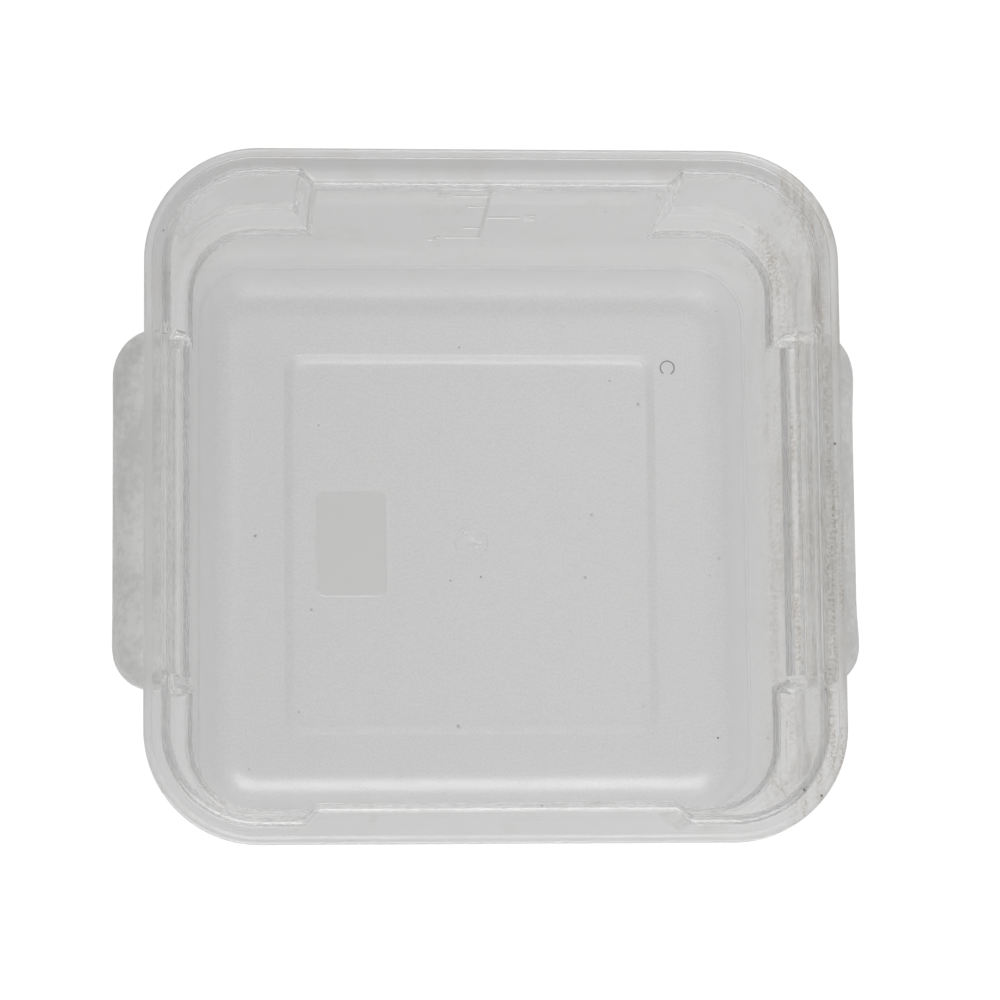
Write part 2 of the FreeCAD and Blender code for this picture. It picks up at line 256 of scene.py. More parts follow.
# the regions of the moulding that the pan's mesh stands for
PAN_NODES = [
    "base",
    "lower_wall",
    "upper_wall",
    "rim",
    "left_grip",
    "right_grip",
    "floor_patch",
    "volume_scale",
]

# the setting: what the camera sees round the pan, what lights it, and the table that shows through it
WHITE = (1, 1, 1, 1)
BACKDROP = 1.05
SURROUND = 0.59
TABLE = 0.685
# painted light: the table is a little paler towards the near right of the pan
TABLE_PAINTED_LIGHT = 0.052
TABLE_REACH = 0.15
TABLE_PALER = (0.65, -0.76, 0)
TABLE_SIZE = 4000.0
TABLE_GAP = 0.0002
TABLE_ROUGH = 0.9
TABLE_GLOSS = 0.1
# soft lights: name, place in metres, width and height, and power
LIGHTS = [
    ("back", (0.5, 2.3, 1.5), (2.6, 2.2), 3),
    ("top", (0.3, 1.3, 2.0), (1.5, 1.15), 18),
    ("front", (-0.4, -2.3, 1.6), (3.4, 0.6), 16.7),
]
LONG_LENS = 156.5
SENSOR = 36.0
CLIP = (0.05, 20.0)
CAMERA_PLACE = (-93.065, -193.713, 1420.966)
CAMERA_RIGHT = (0.99744, -0.01003, 0.07085)
CAMERA_BACK = (-0.07155, -0.14493, 0.98685)
# light is led round inside clear plastic by many reflections
GUIDED_BOUNCES = 160
THROUGH_BOUNCES = 64
CLEAR_BOUNCES = 48


# ---- columns round the pan ----

def spaced(*runs, start=0.0):
    """Positions from the start outwards. Each run is where it ends and how many steps it takes."""
    positions = [start]
    for end, count in runs:
        last = positions[-1]
        positions += [last + (end - last) * (step + 1) / count for step in range(count)]
    return positions


def mirrored(positions):
    return [-p for p in reversed(positions[1:])] + positions


def make_columns():
    """Unit anchors, outward directions and sides of the columns that the pan's mesh is made of."""
    middle = HALF - RIM_CORNER
    panel_side = mirrored(spaced(*PANEL_COLUMNS))
    grip_side = mirrored(spaced(*GRIP_COLUMNS))
    anchors, directions, sides, alongs = [], [], [], []
    for quarter in range(4):
        turn = quarter * math.pi / 2
        out = np.array([math.cos(turn), math.sin(turn)])
        left = np.array([-out[1], out[0]])
        for position in grip_side if quarter % 2 == 0 else panel_side:
            anchors.append(out + left * position / middle)
            directions.append(out)
            sides.append(1 + quarter % 2)
            alongs.append(abs(position))
        for step in range(1, CORNER_STEPS):
            angle = turn + step / CORNER_STEPS * math.pi / 2
            anchors.append(out + left)
            directions.append([math.cos(angle), math.sin(angle)])
            sides.append(0)
            alongs.append(middle)
    return np.array(anchors), np.array(directions), np.array(sides), np.array(alongs)


ANCHORS, DIRECTIONS, SIDES, ALONGS = make_columns()


def ring(half_x, half_y, corner):
    """Rounded rectangle, one point to a column. Each size may be one number or one for each column."""
    half = np.stack([half_x - corner + 0 * ALONGS, half_y - corner + 0 * ALONGS], axis=1)
    reach = (np.zeros_like(ALONGS) + corner)[:, None]
    return ANCHORS * half + DIRECTIONS * reach


def inset_ring(inset):
    return ring(HALF - inset, HALF - inset, RIM_CORNER - inset)


# ---- the wall's shape ----

def sharp_inset(along, depth):
    """Inset of the wall's inner face before its edges are softened."""
    main = MAIN_INSET + DRAFT * depth
    pocket = POCKET_INSET + POCKET_DRAFT * depth
    corner = np.minimum(main, pocket + SHOULDER_SLOPE * np.maximum(0, depth - SHOULDER_DEPTH))
    panel = main - np.maximum(0, along - PANEL_HALF)
    raised = np.minimum(main, pocket + GRIP_SHOULDER_SLOPE * np.maximum(0, depth - GRIP_SHOULDER_DEPTH))
    raised = raised - GRIP_ZONE_END_SLOPE * np.maximum(0, along - GRIP_ZONE_HALF)
    step = np.select([SIDES == 1, SIDES == 2], [raised, panel], corner)
    return np.maximum(corner, step)


def wall_inset(depth):
    """Inset of the wall's inner face at a depth, with softened edges, for every column."""
    shifts = np.linspace(-1, 1, SOFT_SAMPLES)
    samples = [sharp_inset(ALONGS + SOFT_ALONG * a, depth + SOFT_DEPTH * d) for a in shifts for d in shifts]
    return np.mean(samples, axis=0)


def wall_depths(end):
    """Depths of the wall's rows, close together at the two shoulders."""
    return spaced(*WALL_ROWS, (end, LOWER_WALL_STEPS), start=WALL_FIRST_ROW)


def level(points, depth):
    """Plan points at a depth, as points in space."""
    return np.column_stack([points, HEIGHT - (depth + 0 * ALONGS)])


def arc_steps(count):
    """Sine and cosine of the angles after 0 up to a quarter turn."""
    angles = [step / count * math.pi / 2 for step in range(1, count + 1)]
    return [(math.sin(angle), math.cos(angle)) for angle in angles]


def whole_arc(count):
    """Sine and cosine of the angles from 0 up to a quarter turn."""
    return [(0.0, 1.0)] + arc_steps(count)


def smooth_share(share):
    share = min(1.0, max(0.0, share))
    return share * share * (3 - 2 * share)


def floor_rows(height):
    """Rings from the floor's outer edge to the gate mark, over the raised panel."""
    rows = []
    edge = inset_ring(floor_start())
    grow = PANEL_SLOPE / 2
    outer = ring(PANEL_X + grow, PANEL_Y + grow, PANEL_CORNER + grow)
    inner = ring(PANEL_X - grow, PANEL_Y - grow, PANEL_CORNER - grow)
    for share in FLOOR_SHARES:
        rows.append(level(edge + (outer - edge) * share, HEIGHT - height))
    for share in np.linspace(0, 1, PANEL_STEPS + 1)[1:]:
        rise = PANEL_RISE * (share + PANEL_SOFT * (smooth_share(share) - share))
        rows.append(level(outer + (inner - outer) * share, HEIGHT - height - rise))
    return rows, inner


def floor_start():
    """Inset where the bottom radius runs out into the flat floor."""
    return MAIN_INSET + DRAFT * (HEIGHT - BASE_LEVEL) + BASE_RADIUS


def centre_rows(inner, top, marks):
    """Rings from the raised panel's edge to its middle."""
    circle = inner / np.linalg.norm(inner, axis=1)[:, None]
    rows = []
    for share in CENTRE_SHARES:
        rows.append(level(inner + (circle * GATE_RADIUS * GATE_REACH - inner) * share, HEIGHT - top))
    for radius, rise in marks:
        rows.append(level(circle * GATE_RADIUS * radius, HEIGHT - top - rise))
    return rows


def mouth_roll():
    """Inset of the flange's inner end, and the radius of the roll that leads from there into the wall."""
    start = wall_inset(ROLL)
    roll = ROLL + ROLL_GROWTH * (start - POCKET_INSET)
    return start - roll, roll


def inner_rows():
    """Rings from the mouth down the inside of the pan to the middle of its floor."""
    mouth, roll = mouth_roll()
    rows = []
    for sine, cosine in whole_arc(ROLL_STEPS):
        rows.append(level(inset_ring(mouth + roll * sine), roll * (1 - cosine)))
    base_depth = HEIGHT - BASE_LEVEL
    for depth in wall_depths(base_depth):
        rows.append(level(inset_ring(wall_inset(depth)), depth))
    foot = wall_inset(base_depth)
    for sine, cosine in arc_steps(BASE_STEPS):
        rows.append(level(inset_ring(foot + BASE_RADIUS * (1 - cosine)), base_depth + BASE_RADIUS * sine))
    floor, inner = floor_rows(FLOOR_THICK)
    rows += floor
    return rows + centre_rows(inner, FLOOR_THICK + PANEL_RISE, GATE_MARKS)


def flange_rows():
    """Rings from the mouth over the flange, round its lip and back under it to the wall."""
    mouth, _ = mouth_roll()
    wall = wall_inset(FLANGE_THICK + SMALL_ROUND) - WALL
    edge, small = EDGE_ROUND, SMALL_ROUND
    path = [(mouth + (edge - mouth) * share, 0) for share in FLANGE_SHARES]
    path += [(edge * (1 - sine), edge * (1 - cosine)) for sine, cosine in whole_arc(EDGE_STEPS)]
    path.append((0.0, SKIRT_DROP / 2))
    path += [(edge * (1 - cosine), SKIRT_DROP - edge * (1 - sine)) for sine, cosine in whole_arc(EDGE_STEPS)]
    for sine, cosine in whole_arc(SMALL_STEPS):
        path.append((SKIRT_THICK - small * (1 - sine), SKIRT_DROP - small * (1 - cosine)))
    for sine, cosine in whole_arc(SMALL_STEPS):
        path.append((SKIRT_THICK + small * (1 - cosine), FLANGE_THICK + small * (1 - sine)))
    for sine, cosine in whole_arc(SMALL_STEPS + 1):
        path.append((wall - small * (1 - sine), FLANGE_THICK + small * (1 - cosine)))
    return [level(inset_ring(inset), depth) for inset, depth in path]


def outer_rows():
    """Rings from the mouth over the flange, down the outside and under the pan to its middle."""
    rows = flange_rows()
    radius = BASE_RADIUS + WALL
    base_depth = HEIGHT - radius
    for depth in wall_depths(base_depth):
        rows.append(level(inset_ring(wall_inset(depth) - WALL), depth))
    foot = wall_inset(base_depth) - WALL
    for sine, cosine in arc_steps(BASE_STEPS):
        rows.append(level(inset_ring(foot + radius * (1 - cosine)), base_depth + radius * sine))
    floor, inner = floor_rows(0.0)
    rows += floor
    return rows + centre_rows(inner, PANEL_RISE, UNDERSIDE_MARKS)


# ---- meshes ----

def mesh_object(name, points, faces):
    mesh = bpy.data.meshes.new(name)
    mesh.from_pydata(np.asarray(points) * MM, [], faces)
    mesh.validate()
    mesh.update()
    made = bpy.data.objects.new(name, mesh)
    bpy.context.scene.collection.objects.link(made)
    return made


def volume_of(made):
    """Signed volume: positive if the faces look outwards."""
    mesh = made.data
    mesh.calc_loop_triangles()
    corners = np.empty(len(mesh.vertices) * 3)
    mesh.vertices.foreach_get("co", corners)
    corners = corners.reshape(-1, 3)
    triangles = np.empty(len(mesh.loop_triangles) * 3, dtype=int)
    mesh.loop_triangles.foreach_get("vertices", triangles)
    a, b, c = [corners[triangles.reshape(-1, 3)[:, k]] for k in range(3)]
    return float(np.einsum("ij,ij->i", a, np.cross(b, c)).sum() / 6)


def rows_to_solid(name, rows, cap_first=None, cap_last=None):
    """Closed mesh over rings of equal length. Each end is closed by a fan to a point, or by one flat face."""
    count = len(rows[0])
    points = list(np.concatenate(rows))
    faces = []
    for row in range(len(rows) - 1):
        low, high = row * count, (row + 1) * count
        for column in range(count):
            after = (column + 1) % count
            faces.append((low + column, low + after, high + after, high + column))
    last = (len(rows) - 1) * count
    for cap, start, flip in ((cap_first, 0, True), (cap_last, last, False)):
        loop = [start + column for column in range(count)]
        if flip:
            loop.reverse()
        if cap is None:
            faces.append(tuple(loop))
            continue
        points.append(cap)
        faces += [(loop[k], loop[(k + 1) % count], len(points) - 1) for k in range(count)]
    made = mesh_object(name, points, faces)
    if volume_of(made) < 0:
        made.data.flip_normals()
    return made


def make_pan():
    """The moulding without its grips: floor, walls, flange and foot in one continuous skin."""
    rows = list(reversed(inner_rows())) + outer_rows()
    return rows_to_solid(
        "pan_body",
        rows,
        cap_first=np.array([0, 0, FLOOR_THICK + PANEL_RISE + GATE_PIP]),
        cap_last=np.array([0, 0, PANEL_RISE]),
    )


def grip_outline(reach, half, corner, front_round, end_round):
    """Stations round a grip's plan from one root to the other: place, outward direction and rounding."""
    corner_round = GRIP_CORNER_SHARE * corner
    stations = [(None, share, half, (0, 1), end_round) for share in GRIP_ROOT_SHARES]
    centre = (reach - corner, half - corner)
    for step in range(GRIP_CORNER_STEPS + 1):
        share = step / GRIP_CORNER_STEPS
        angle = math.pi / 2 * (1 - share)
        out = (math.cos(angle), math.sin(angle))
        rounding = end_round + (corner_round - end_round) * smooth_share(share)
        stations.append((centre[0] + corner * out[0], 1.0, centre[1] + corner * out[1], out, rounding))
    for share in GRIP_BLEND_SHARES:
        rounding = corner_round + (front_round - corner_round) * smooth_share(share)
        stations.append((reach, 1.0, centre[1] - GRIP_BLEND * share, (1, 0), rounding))
    for share in GRIP_FRONT_SHARES:
        stations.append((reach, 1.0, (centre[1] - GRIP_BLEND) * share, (1, 0), front_round))
    other = []
    for x, share, y, out, rounding in reversed(stations[:-1]):
        other.append((x, share, -y, (out[0], -out[1]), rounding))
    return stations + other


def grip_ring(stations, root, inward, depths):
    """One ring of a grip: inward and depths say how far each station moves in and how deep it lies."""
    points = []
    reach_side = stations[2][0]
    for (x, share, y, out, rounding), depth in zip(stations, depths):
        place = root + (reach_side - root) * share if x is None else x
        offset = inward(rounding)
        points.append((place - out[0] * offset, y - out[1] * offset, HEIGHT - depth))
    return np.array(points)


def grip_block(name, skin, root_at, bottom, flare):
    """Solid with a grip's rounded outside, or its hollow when skin is the wall's thickness."""
    end_round = max(HOLLOW_END_ROUND, GRIP_END_ROUND - skin)
    reach, half = GRIP_HIGH.x - skin, GRIP_HIGH.y - skin
    stations = grip_outline(reach, half, GRIP_CORNER - skin, GRIP_CURVE - skin, end_round)
    top = HEIGHT - GRIP_HIGH.z + skin
    rows = []
    for sine, cosine in reversed(whole_arc(GRIP_TOP_STEPS)):
        depths = [top + rounding * (1 - sine) for *_, rounding in stations]
        rows.append(grip_ring(stations, root_at(depths[0]), lambda r, c=cosine: r * (1 - c), depths))
    depths = [max(GRIP_KNEE, top + rounding + GRIP_CLEAR) for *_, rounding in stations]
    rows.append(grip_ring(stations, root_at(GRIP_KNEE), lambda r: 0.0, depths))
    lip = GRIP_LIP
    for sine, cosine in whole_arc(GRIP_LIP_STEPS):
        depths = [bottom - lip * (1 - sine) for _ in stations]
        rows.append(grip_ring(stations, root_at(bottom), lambda r, c=cosine: flare * lip * (1 - c), depths))
    if flare < 0:
        depths = [bottom + HOLLOW_PAST for _ in stations]
        rows.append(grip_ring(stations, root_at(bottom), lambda r: flare * lip, depths))
    return rows_to_solid(name, rows)


def mid_wall(depth):
    """Distance from the middle of the pan to the middle of the wall's thickness behind a grip."""
    column = int(np.argmin(np.where(SIDES == 1, ALONGS, np.inf)))
    return HALF - (wall_inset(depth)[column] - WALL / 2)


def apply_modifiers(made):
    depsgraph = bpy.context.evaluated_depsgraph_get()
    result = bpy.data.meshes.new_from_object(made.evaluated_get(depsgraph))
    made.modifiers.clear()
    made.data = result


def apply_boolean(base, tool, operation):
    cut = base.modifiers.new("join", "BOOLEAN")
    cut.operation = operation
    cut.solver = "EXACT"
    cut.object = tool
    apply_modifiers(base)
    bpy.data.objects.remove(tool)


def make_grips():
    """Both grips as one mesh, each with its root buried in the wall."""
    bottom = HEIGHT - GRIP_LOW.z
    grip = grip_block("grips", 0.0, mid_wall, bottom, 1)
    hollow = grip_block("hollow", WALL, lambda depth: HOLLOW_ROOT, bottom, -1)
    apply_boolean(grip, hollow, "DIFFERENCE")
    other = bpy.data.objects.new("other_grip", grip.data.copy())
    bpy.context.scene.collection.objects.link(other)
    other.data.transform(Matrix.Scale(-1, 4, (1, 0, 0)))
    other.data.flip_normals()
    apply_boolean(grip, other, "UNION")
    return grip


# ---- small features ----

def make_patch():
    """Smooth rounded plate on the grained floor, with softened edges, sunk so that it joins the floor."""
    low, high = PATCH_LOW.z, PATCH_HIGH.z
    middle = np.array([PATCH_LOW.x + PATCH_HIGH.x, PATCH_LOW.y + PATCH_HIGH.y]) / 2
    half = (PATCH_HIGH - PATCH_LOW) / 2
    profile = [(0.0, low - SUNK), (0.0, high - PATCH_EDGE), (PATCH_EDGE, high), (PATCH_BORDER, high)]
    rows = []
    for inset, height in profile:
        outline = ring(half.x - inset, half.y - inset, PATCH_CORNER - inset)
        rows.append(level(outline + middle, HEIGHT - height))
    return rows_to_solid("patch", rows)


def make_ridge(name, path, width, rise, level_at):
    """Rounded ridge along a path on a level face, sunk a little so that it joins the face."""
    half = [(1, -SUNK), (1, 0), (RIDGE_ROUND, RIDGE_ROUND * rise)]
    section = half + [(0, rise)] + [(-across, up) for across, up in reversed(half)]
    path = np.array(path, dtype=float)
    along = np.gradient(path, axis=0)
    along /= np.linalg.norm(along, axis=1)[:, None]
    rows = []
    for point, (x, y) in zip(path, along):
        across_path = np.array([y, -x]) * width / 2
        rows.append(np.array([(*(point + across_path * across), level_at + up) for across, up in section]))
    return rows_to_solid(name, rows)


def make_floor_marks():
    """Thin open ring near a corner of the floor, and the short streaks at the gate."""
    angles = np.radians(np.linspace(*RING_MARK_ANGLES, RING_MARK_POINTS))
    circle = RING_MARK + RING_MARK_RADIUS * np.column_stack([np.cos(angles), np.sin(angles)])
    marks = [make_ridge("ring_mark", circle, RIDGE_WIDTH, RIDGE_RISE, FLOOR_THICK)]
    for start, end in STREAKS:
        path = np.linspace(start, end, STREAK_POINTS)
        marks.append(make_ridge("streak", path, STREAK_WIDTH, STREAK_RISE, FLOOR_THICK + PANEL_RISE))
    return marks


def cells_to_solid(name, cells, place):
    """Solid over filled cells. Each cell is a rectangle given by its grid lines, and place sets a corner."""
    points, faces, index = [], [], {}

    def corner(x, y, up):
        if (x, y, up) not in index:
            index[(x, y, up)] = len(points)
            points.append(place(x, y, up))
        return index[(x, y, up)]

    for x, y in cells:
        around = [(x, y), (x + 1, y), (x + 1, y + 1), (x, y + 1)]
        faces.append([corner(*c, 1) for c in around])
        faces.append([corner(*c, 0) for c in reversed(around)])
        for side, step in enumerate(((0, -1), (1, 0), (0, 1), (-1, 0))):
            if (x + step[0], y + step[1]) in cells:
                continue
            a, b = around[side], around[(side + 1) % 4]
            faces.append([corner(*a, 0), corner(*b, 0), corner(*b, 1), corner(*a, 1)])
    made = mesh_object(name, points, faces)
    if volume_of(made) < 0:
        made.data.flip_normals()
    return made


def back_face(across, depth, up):
    """Point on the outside of the back panel, seen from behind: sunk if up is 0, raised if it is 1."""
    lean = math.atan(DRAFT)
    rise = SCALE_RAISE if up else -SUNK
    y = HALF - MAIN_INSET + WALL - DRAFT * depth
    return (-across, y + rise * math.cos(lean), HEIGHT - depth - rise * math.sin(lean))


def make_scale():
    """Upright line with ticks on both sides of it, as one solid."""
    half = SCALE_LINE / 2
    ticks = [FIRST_TICK + TICK_STEP * k for k in range(len(TICK_SIDES))]
    xs = [-LONG_TICK, -SHORT_TICK, -half, half, SHORT_TICK, LONG_TICK]
    depths = sorted([SCALE_TOP, SCALE_BOTTOM] + [t - half for t in ticks] + [t + half for t in ticks])
    middle = xs.index(-half)
    cells = {(middle, row) for row in range(len(depths) - 1) if depths[row] < SCALE_BOTTOM}
    for k, (tick, side) in enumerate(zip(ticks, TICK_SIDES)):
        row = depths.index(tick - half)
        long_tick = k % 2 == 0
        cells.add((middle + side, row))
        if long_tick:
            cells.add((middle + 2 * side, row))
    return cells_to_solid("scale", cells, lambda x, y, up: back_face(xs[x], depths[y], up))


def make_digit(digit, across, depth):
    """One plain digit, upright when seen from behind the pan. Its place is the middle of its left side."""
    rows = DIGITS[digit]
    cells = {(x, y) for y, row in enumerate(rows) for x, filled in enumerate(row) if filled == "1"}
    start = depth - DIGIT_CELL * len(rows) / 2
    return cells_to_solid(
        "digit", cells, lambda x, y, up: back_face(across + x * DIGIT_CELL, start + y * DIGIT_CELL, up)
    )


def make_marks():
    """The volume scale's line, its ticks and the plain digits beside the long ones."""
    width = DIGIT_CELL * DIGIT_COLUMNS
    marks = [make_scale()]
    for k, digit in DIGITS_AT:
        side = TICK_SIDES[k]
        across = LONG_TICK + DIGIT_GAP if side > 0 else -LONG_TICK - DIGIT_GAP - width
        marks.append(make_digit(digit, across, FIRST_TICK + TICK_STEP * k))
    return marks


# ---- materials ----

def new_material(name):
    material = bpy.data.materials.new(name)
    material.use_nodes = True
    nodes = material.node_tree.nodes
    return material, nodes, material.node_tree.links, nodes["Principled BSDF"], nodes["Material Output"]


def let_light_through(nodes, links, shader, output, tint):
    """Shadow and diffuse rays pass straight through, tinted, so that lamps light what is behind."""
    path = nodes.new("ShaderNodeLightPath")
    either = nodes.new("ShaderNodeMath")
    either.operation = "MAXIMUM"
    links.new(path.outputs["Is Shadow Ray"], either.inputs[0])
    links.new(path.outputs["Is Diffuse Ray"], either.inputs[1])
    clear = nodes.new("ShaderNodeBsdfTransparent")
    clear.inputs["Color"].default_value = tint
    mix = nodes.new("ShaderNodeMixShader")
    links.new(either.outputs[0], mix.inputs[0])
    links.new(shader.outputs[0], mix.inputs[1])
    links.new(clear.outputs[0], mix.inputs[2])
    links.new(mix.outputs[0], output.inputs["Surface"])


def noise(nodes, links, kind, place):
    """Noise over a place. Its kind is its scale, detail and roughness."""
    made = nodes.new("ShaderNodeTexNoise")
    for name, number in zip(("Scale", "Detail", "Roughness"), kind):
        made.inputs[name].default_value = number
    links.new(place, made.inputs["Vector"])
    return made.outputs["Fac"]


def map_range(nodes, links, value, source, target=WHOLE, smooth=False):
    made = nodes.new("ShaderNodeMapRange")
    made.interpolation_type = "SMOOTHSTEP" if smooth else "LINEAR"
    for name, number in zip(("From Min", "From Max", "To Min", "To Max"), (*source, *target)):
        made.inputs[name].default_value = number
    links.new(value, made.inputs["Value"])
    return made.outputs["Result"]


def plastic(name, colour, transmission=1.0):
    """Polycarbonate whose colour also tints what is seen through it."""
    made = new_material(name)
    material, nodes, links, shader, output = made
    shader.inputs["Base Color"].default_value = (*colour, 1)
    shader.inputs["Transmission Weight"].default_value = transmission
    shader.inputs["IOR"].default_value = IOR
    let_light_through(nodes, links, shader, output, PASS_TINT)
    return made


def vector_maths(nodes, links, operation, first, second=None):
    made = nodes.new("ShaderNodeVectorMath")
    made.operation = operation
    links.new(first, made.inputs[0])
    if second is not None:
        made.inputs[1].default_value = second
    return made.outputs["Value" if operation in ("LENGTH", "DOT_PRODUCT") else "Vector"]


def object_place(nodes, links, stretch=None):
    """Object coordinates, optionally stretched."""
    place = nodes.new("ShaderNodeTexCoord").outputs["Object"]
    return place if stretch is None else vector_maths(nodes, links, "MULTIPLY", place, stretch)


def arithmetic(nodes, links, operation, first, second):
    made = nodes.new("ShaderNodeMath")
    made.operation = operation
    links.new(first, made.inputs[0])
    if isinstance(second, float):
        made.inputs[1].default_value = second
    else:
        links.new(second, made.inputs[1])
    return made.outputs[0]


def blend(nodes, links, share, first, second):
    """Mix of two colours by a share."""
    made = nodes.new("ShaderNodeMix")
    made.data_type = "RGBA"
    links.new(share, made.inputs["Factor"])
    # the node has sockets for numbers and vectors too, so its colour sockets are taken by place
    for socket, colour in ((made.inputs[6], first), (made.inputs[7], second)):
        if isinstance(colour, tuple):
            socket.default_value = (*colour, 1)
        else:
            links.new(colour, socket)
    return made.outputs[2]


def add_bump(nodes, links, shader, height, distance, strength):
    bump = nodes.new("ShaderNodeBump")
    bump.inputs["Distance"].default_value = distance
    links.new(height, bump.inputs["Height"])
    if isinstance(strength, float):
        bump.inputs["Strength"].default_value = strength
    else:
        links.new(strength, bump.inputs["Strength"])
    links.new(bump.outputs[0], shader.inputs["Normal"])


def rim_distance(nodes, links, place):
    """Distance from the middles of the rim's corner arcs, which is the corner radius at the rim's edge."""
    flat = vector_maths(nodes, links, "MULTIPLY", place, (1, 1, 0))
    folded = vector_maths(nodes, links, "ABSOLUTE", flat)
    middle = (HALF - RIM_CORNER) * MM
    beyond = vector_maths(nodes, links, "SUBTRACT", folded, (middle, middle, 0))
    outside = vector_maths(nodes, links, "MAXIMUM", beyond, (0, 0, 0))
    return vector_maths(nodes, links, "LENGTH", outside)


def floor_share(nodes, links, height):
    """How far a place belongs to what lies above the underside, and to the grained floor."""
    above = map_range(nodes, links, height, FLOOR_STARTS)
    low = map_range(nodes, links, height, FLOOR_ENDS, NONE, smooth=True)
    return above, arithmetic(nodes, links, "MULTIPLY", above, low)


def clear_roughness(nodes, links, place, height, above, floor):
    """Polished walls, a grained floor, a softer radius between them, and a scuffed rim edge."""
    scuffs = noise(nodes, links, SCUFF_NOISE, place)
    grained = map_range(nodes, links, scuffs, SCUFF_RANGE, FLOOR_ROUGH)
    rough = arithmetic(nodes, links, "MULTIPLY", grained, floor)
    radius = map_range(nodes, links, height, RADIUS_ENDS, (RADIUS_ROUGH, 0.0), smooth=True)
    others = [
        map_range(nodes, links, scuffs, SCUFF_RANGE, POLISHED_ROUGH),
        arithmetic(nodes, links, "MULTIPLY", radius, above),
        map_range(nodes, links, rim_distance(nodes, links, place), EDGE_BAND, (0.0, EDGE_ROUGH)),
    ]
    for other in others:
        rough = arithmetic(nodes, links, "MAXIMUM", rough, other)
    return rough


def shaded_flange(nodes, links, place, split):
    """Clear plastic with painted shade on its flange, darker towards the back."""
    flat = map_range(nodes, links, split.outputs["Z"], FLANGE_STARTS)
    band = map_range(nodes, links, rim_distance(nodes, links, place), FLANGE_BAND, smooth=True)
    flange = arithmetic(nodes, links, "MULTIPLY", flat, band)
    # painted shade, darker towards the back
    back_shade = map_range(nodes, links, split.outputs["Y"], SHADE_TOWARDS_BACK)
    share = arithmetic(nodes, links, "MULTIPLY", flange, back_shade)
    return blend(nodes, links, share, CLEAR_COLOUR, FLANGE_SHADE_COLOUR)


def wall_dirt(nodes, links, split):
    """Share of speckled streaks, which lie along the upper part of the right-hand wall."""
    streaks = noise(nodes, links, STREAK_NOISE, object_place(nodes, links, STREAK_STRETCH))
    crumbs = noise(nodes, links, CRUMB_NOISE, object_place(nodes, links, CRUMB_STRETCH))
    share = map_range(nodes, links, split.outputs["X"], DIRT_SIDE, smooth=True)
    others = [
        map_range(nodes, links, split.outputs["Z"], DIRT_STARTS),
        map_range(nodes, links, streaks, STREAK_RANGE),
        map_range(nodes, links, crumbs, CRUMB_RANGE),
    ]
    for other in others:
        share = arithmetic(nodes, links, "MULTIPLY", share, other)
    return share


def clear_plastic():
    """Clear plastic: polished walls, worn rim edge, softer radius and grained floor, with a little dirt and
    painted shade on the flange towards the back.
    """
    material, nodes, links, shader, output = plastic("clear polycarbonate", CLEAR_COLOUR)
    place = object_place(nodes, links)
    split = nodes.new("ShaderNodeSeparateXYZ")
    links.new(place, split.inputs[0])
    height = split.outputs["Z"]
    above, floor = floor_share(nodes, links, height)
    links.new(clear_roughness(nodes, links, place, height, above, floor), shader.inputs["Roughness"])
    add_bump(nodes, links, shader, noise(nodes, links, GRAIN_NOISE, place), GRAIN_DEPTH, floor)

    smudges = noise(nodes, links, SMUDGE_NOISE, place)
    smudged = map_range(nodes, links, smudges, SMUDGE_RANGE, (0.0, SMUDGE_MOST))
    smudged = arithmetic(nodes, links, "MULTIPLY", smudged, map_range(nodes, links, height, WALL_STARTS))
    colour = blend(nodes, links, smudged, shaded_flange(nodes, links, place, split), WORN_COLOUR)
    colour = blend(nodes, links, wall_dirt(nodes, links, split), colour, DIRT_COLOUR)
    cells = nodes.new("ShaderNodeTexVoronoi")
    cells.inputs["Scale"].default_value = SPECK_SCALE
    links.new(place, cells.inputs["Vector"])
    specks = map_range(nodes, links, cells.outputs["Distance"], SPECK_RANGE, NONE)
    colour = blend(nodes, links, specks, colour, SPECK_COLOUR)
    pebbles = map_range(nodes, links, noise(nodes, links, PEBBLE_NOISE, place), PEBBLE_RANGE)
    grains = arithmetic(nodes, links, "MULTIPLY", pebbles, floor)
    links.new(blend(nodes, links, grains, colour, GRAIN_COLOUR), shader.inputs["Base Color"])
    return material


def frosted_plastic():
    """Etched plastic of the grips, mottled where hands have polished it."""
    made = plastic("frosted polycarbonate", FROSTED_COLOUR, FROSTED_TRANSMISSION)
    material, nodes, links, shader, output = made
    place = object_place(nodes, links)
    frost = noise(nodes, links, FROST_NOISE, place)
    patches = noise(nodes, links, HAND_NOISE, place)
    links.new(map_range(nodes, links, patches, HAND_RANGE, FROSTED_ROUGH), shader.inputs["Roughness"])
    add_bump(nodes, links, shader, frost, FROST_DEPTH, FROST_STRENGTH)
    dark = map_range(nodes, links, arithmetic(nodes, links, "MULTIPLY", frost, patches), MOTTLE_RANGE, NONE)
    links.new(blend(nodes, links, dark, FROSTED_COLOUR, FROSTED_DARK), shader.inputs["Base Color"])
    return material


def worn_plastic(name, colour, scale, roughness):
    """Plain plastic whose roughness varies with fine scuffs."""
    material, nodes, links, shader, output = plastic(name, colour)
    scuffs = noise(nodes, links, (scale, *WEAR_DETAIL), object_place(nodes, links))
    links.new(map_range(nodes, links, scuffs, SCUFF_RANGE, roughness), shader.inputs["Roughness"])
    return material


def smooth_plastic():
    return worn_plastic("smooth polycarbonate", SMOOTH_COLOUR, *SMOOTH_WEAR)


def embossed_plastic():
    return worn_plastic("embossed polycarbonate", EMBOSSED_COLOUR, *EMBOSSED_WEAR)


def scuffed_plastic():
    return worn_plastic("scuffed polycarbonate", SCUFFED_COLOUR, *SCUFFED_WEAR)


# ---- building ----

def finish_piece(made, nodes):
    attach(made, "root")
    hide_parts(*nodes)


